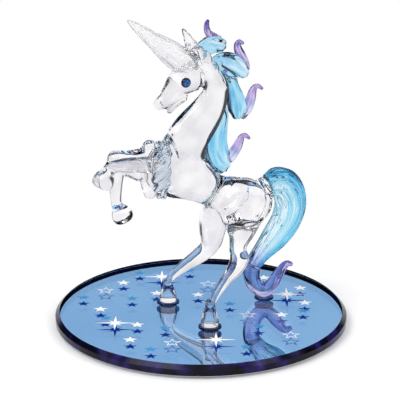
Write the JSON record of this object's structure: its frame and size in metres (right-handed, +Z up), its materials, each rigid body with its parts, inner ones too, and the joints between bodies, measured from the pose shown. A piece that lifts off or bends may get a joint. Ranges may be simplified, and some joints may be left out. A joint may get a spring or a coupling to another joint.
{
  "type": "glass unicorn figurine",
  "caption": "Rearing unicorn of flame-worked clear glass with blue and lilac mane and tail, a frosted horn and dark blue eyes, glued upright on a round bevelled mirror base printed with stars.",
  "frame": {"origin": "centre of the round base on its underside, on the surface it stands on", "axes": "+Z up; the picture looks along +Y from the -Y side, so +X is to its right; the unicorn faces -X, turned 24 degrees towards -Y"},
  "size_m": [0.114, 0.114, 0.1256],
  "materials": {
    "clear_glass": "clear colourless borosilicate glass, fire-polished and shiny",
    "sky_blue_glass": "clear glass with combed sky-blue colour, fine lengthwise ridges",
    "lilac_glass": "translucent lilac glass with darker violet edges",
    "violet_glass": "blue to violet glass under a clear skin",
    "frosted_horn_glass": "translucent milky glass with long twisted striations",
    "deep_blue_glass": "shiny dark blue glass bead",
    "clear_glue": "clear hard glue, shiny",
    "blue_base_glass": "flat blue-tinted glass with a polished bevel and a violet edge",
    "mirror_silver": "silvering behind the glass",
    "felt": "thin black felt",
    "white_print": "thin opaque white print",
    "teal_print": "thin teal-blue print"
  },
  "bodies": {
    "root": {"backing_felt": "felt", "base_glass": "blue_base_glass", "dock": "clear_glass", "forelock": "clear_glass", "head": "clear_glass", "horn": "frosted_horn_glass", "left_ear": "clear_glass", "left_eye": "deep_blue_glass", "left_fore_hoof": "clear_glass", "left_fore_shank": "clear_glass", "left_forearm": "clear_glass", "left_hind_hoof": "clear_glass", "left_hoof_bead": "clear_glue", "left_shank": "clear_glass", "left_shoulder": "clear_glass", "left_thigh": "clear_glass", "lower_jaw": "clear_glass", "mane_lock_1": "sky_blue_glass", "mane_lock_2": "sky_blue_glass", "mane_lock_3": "sky_blue_glass", "mane_lock_4": "sky_blue_glass", "mane_tip_1": "lilac_glass", "mane_tip_2": "lilac_glass", "mane_tip_3": "lilac_glass", "mane_tip_4": "lilac_glass", "mirror_coating": "mirror_silver", "neck": "clear_glass", "right_ear": "clear_glass", "right_eye": "deep_blue_glass", "right_fore_hoof": "clear_glass", "right_fore_shank": "clear_glass", "right_forearm": "clear_glass", "right_hind_hoof": "clear_glass", "right_hoof_bead": "clear_glue", "right_shank": "clear_glass", "right_shoulder": "clear_glass", "right_thigh": "clear_glass", "sparkles_white": "white_print", "stars_outlined": "white_print", "stars_teal": "teal_print", "stars_white": "white_print", "tail": "sky_blue_glass", "tail_bead": "clear_glue", "tail_tip": "violet_glass", "torso": "clear_glass"}
  },
  "joints": []
}
